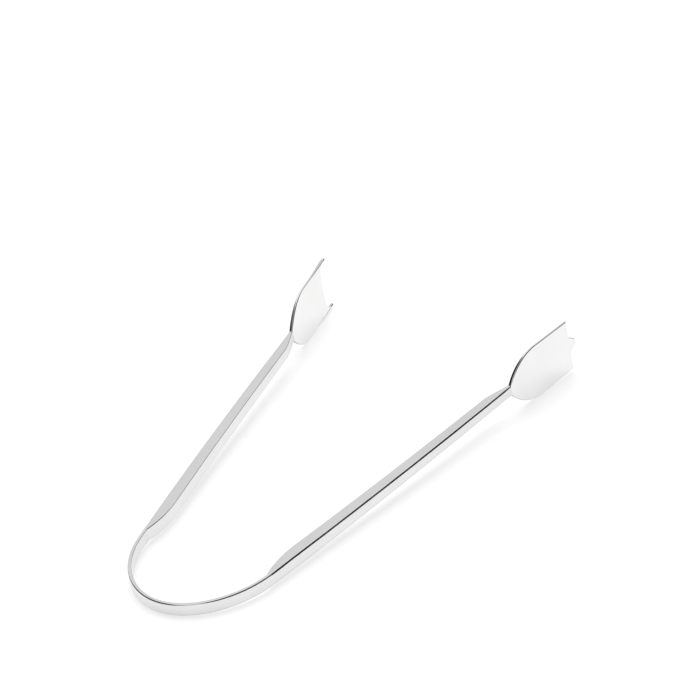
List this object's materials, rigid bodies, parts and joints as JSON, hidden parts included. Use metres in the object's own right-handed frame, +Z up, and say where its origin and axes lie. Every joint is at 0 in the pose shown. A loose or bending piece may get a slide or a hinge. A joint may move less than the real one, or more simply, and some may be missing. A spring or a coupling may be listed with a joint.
{
  "type": "ice tongs",
  "caption": "Sprung one-piece steel tongs with a thin bow, solid tapered arms and wide flat claws, one toothed and one with a horned bay, for lifting ice.",
  "frame": {"origin": "centre of the overall footprint, on the surface the tongs lie on", "axes": "+Y from the bow to the claws, +X towards the right arm (the toothed claw), +Z up from the surface"},
  "size_m": [0.1018, 0.1782, 0.0206],
  "materials": {
    "steel": "polished"
  },
  "bodies": {
    "crown": {"bow_crown": "steel"},
    "right_flank": {"right_bow": "steel"},
    "left_flank": {"left_bow": "steel"},
    "right_side": {"right_arm": "steel", "right_claw": "steel"},
    "left_side": {"left_arm": "steel", "left_claw": "steel"}
  },
  "joints": [
    {"name": "right_bow_flex", "type": "hinge", "parent": "crown", "child": "right_flank", "pos_m": [0.0102, -0.08593, 0.00245], "axis": [0, -0.0483, 0.9988], "range_deg": [-1.5, 8.45], "stiffness_Nm_per_rad": 9},
    {"name": "right_arm_flex", "type": "hinge", "parent": "right_flank", "child": "right_side", "pos_m": [0.0239, -0.07139, 0.00315], "axis": [0, -0.0483, 0.9988], "range_deg": [-1.5, 8.45], "stiffness_Nm_per_rad": 9},
    {"name": "left_bow_flex", "type": "hinge", "parent": "crown", "child": "left_flank", "pos_m": [-0.0092, -0.08593, 0.00245], "axis": [0, -0.0483, 0.9988], "range_deg": [-8.45, 1.5], "stiffness_Nm_per_rad": 9},
    {"name": "left_arm_flex", "type": "hinge", "parent": "left_flank", "child": "left_side", "pos_m": [-0.0229, -0.07139, 0.00315], "axis": [0, -0.0483, 0.9988], "range_deg": [-8.45, 1.5], "stiffness_Nm_per_rad": 9}
  ],
  "couplings": [
    {"joint": "right_arm_flex", "follows": "right_bow_flex", "ratio": 1},
    {"joint": "left_bow_flex", "follows": "right_bow_flex", "ratio": -1},
    {"joint": "left_arm_flex", "follows": "right_bow_flex", "ratio": -1}
  ]
}
